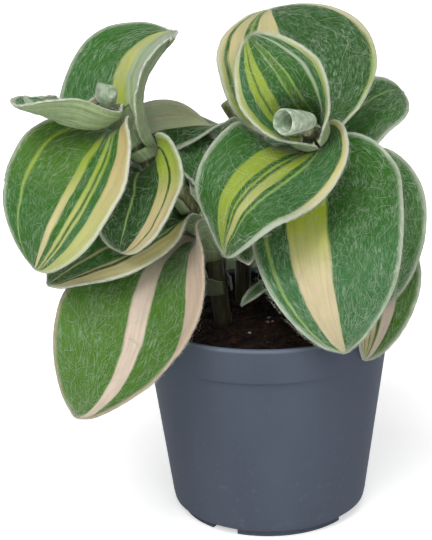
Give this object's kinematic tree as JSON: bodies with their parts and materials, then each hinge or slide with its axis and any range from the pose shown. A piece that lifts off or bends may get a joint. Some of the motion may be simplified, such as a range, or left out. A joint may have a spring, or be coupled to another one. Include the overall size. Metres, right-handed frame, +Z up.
{
  "type": "potted tradescantia",
  "caption": "Small variegated, hairy-leaved trailing plant with short leafy stems, rooted in dark peat in a tapered grey plastic nursery pot with a stepped band under its lip.",
  "frame": {"origin": "on the pot's axis, at the level of the foot that it stands on", "axes": "+Z up along the pot's axis, -Y towards the front of the plant"},
  "size_m": [0.0971, 0.0826, 0.1182],
  "materials": {
    "pot_plastic": "satin moulded polypropylene",
    "peat": "moist dark peat, matt",
    "leaf_green": "soft leaf skin under white hairs",
    "stem_skin": "soft stem skin under white hairs",
    "bud_down": "young leaf covered in white down"
  },
  "bodies": {
    "root": {"bud_left": "bud_down", "bud_right": "bud_down", "leaf_left_1": "leaf_green", "leaf_left_2": "leaf_green", "leaf_left_3": "leaf_green", "leaf_left_4": "leaf_green", "leaf_left_5": "leaf_green", "leaf_left_6": "leaf_green", "leaf_left_7": "leaf_green", "leaf_left_8": "leaf_green", "leaf_middle_1": "leaf_green", "leaf_middle_2": "leaf_green", "leaf_middle_3": "leaf_green", "leaf_middle_4": "leaf_green", "leaf_middle_5": "leaf_green", "leaf_right_1": "leaf_green", "leaf_right_2": "leaf_green", "leaf_right_3": "leaf_green", "leaf_right_4": "leaf_green", "leaf_right_5": "leaf_green", "leaf_right_6": "leaf_green", "leaf_right_7": "leaf_green", "leaf_right_8": "leaf_green", "leaf_right_9": "leaf_green", "pot": "pot_plastic", "soil": "peat", "stem_left": "stem_skin", "stem_middle": "stem_skin", "stem_right": "stem_skin"}
  },
  "joints": []
}
